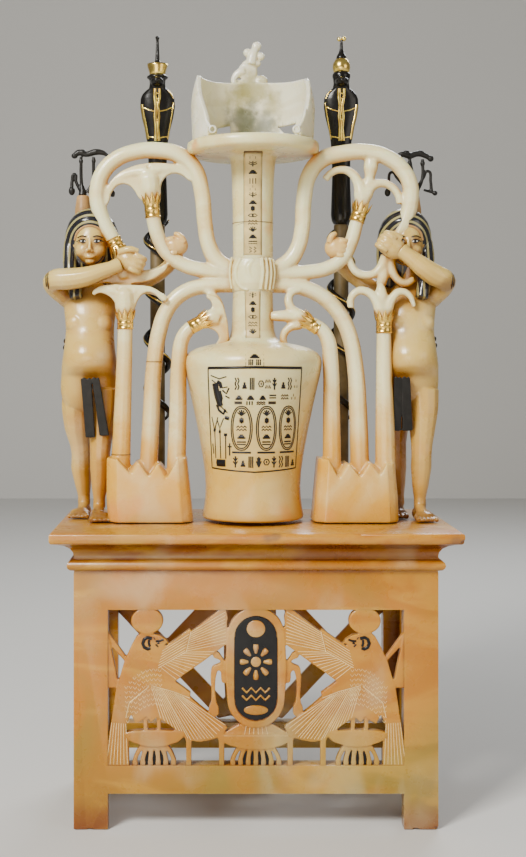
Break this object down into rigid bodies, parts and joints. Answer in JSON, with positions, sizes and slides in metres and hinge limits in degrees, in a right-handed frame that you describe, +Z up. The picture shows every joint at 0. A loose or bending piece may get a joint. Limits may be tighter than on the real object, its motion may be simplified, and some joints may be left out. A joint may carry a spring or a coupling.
{
  "type": "ornamental unguent vase",
  "caption": "Tall carved stone ointment vase held by standing river-god figures and tied plant stems, with a winged screen on the lip, serpent columns and an openwork stand.",
  "frame": {"origin": "middle of the rectangle on which the stand's feet rest", "axes": "+Z up, +X towards the viewer's right, +Y away from the viewer"},
  "size_m": [0.3783, 0.185, 0.7119],
  "materials": {
    "stand_alabaster": "waxy satin, honey-coloured, veined",
    "carved_alabaster": "waxy satin, pale at the neck, honey-coloured below",
    "lip_alabaster": "waxy satin, pale",
    "sheet_gold": "thin polished gold sheet",
    "dark_wood": "black, satin",
    "column_brown": "olive brown, worn satin",
    "dark_gilt": "black with gilt bands and crowns"
  },
  "bodies": {
    "root": {"stand": "stand_alabaster", "vase_group": "carved_alabaster", "vulture_screen": "lip_alabaster", "collar_left_loop": "sheet_gold", "collar_left_inner": "sheet_gold", "collar_right_inner": "sheet_gold", "collar_left_straight": "sheet_gold", "collar_right_straight": "sheet_gold", "collar_left_bent": "sheet_gold", "collar_right_bent": "sheet_gold", "headdress_left": "dark_wood", "apron_left": "dark_wood", "column_left": "column_brown", "cobra_left": "dark_gilt", "headdress_right": "dark_wood", "apron_right": "dark_wood", "column_right": "column_brown", "cobra_right": "dark_gilt"}
  },
  "joints": []
}
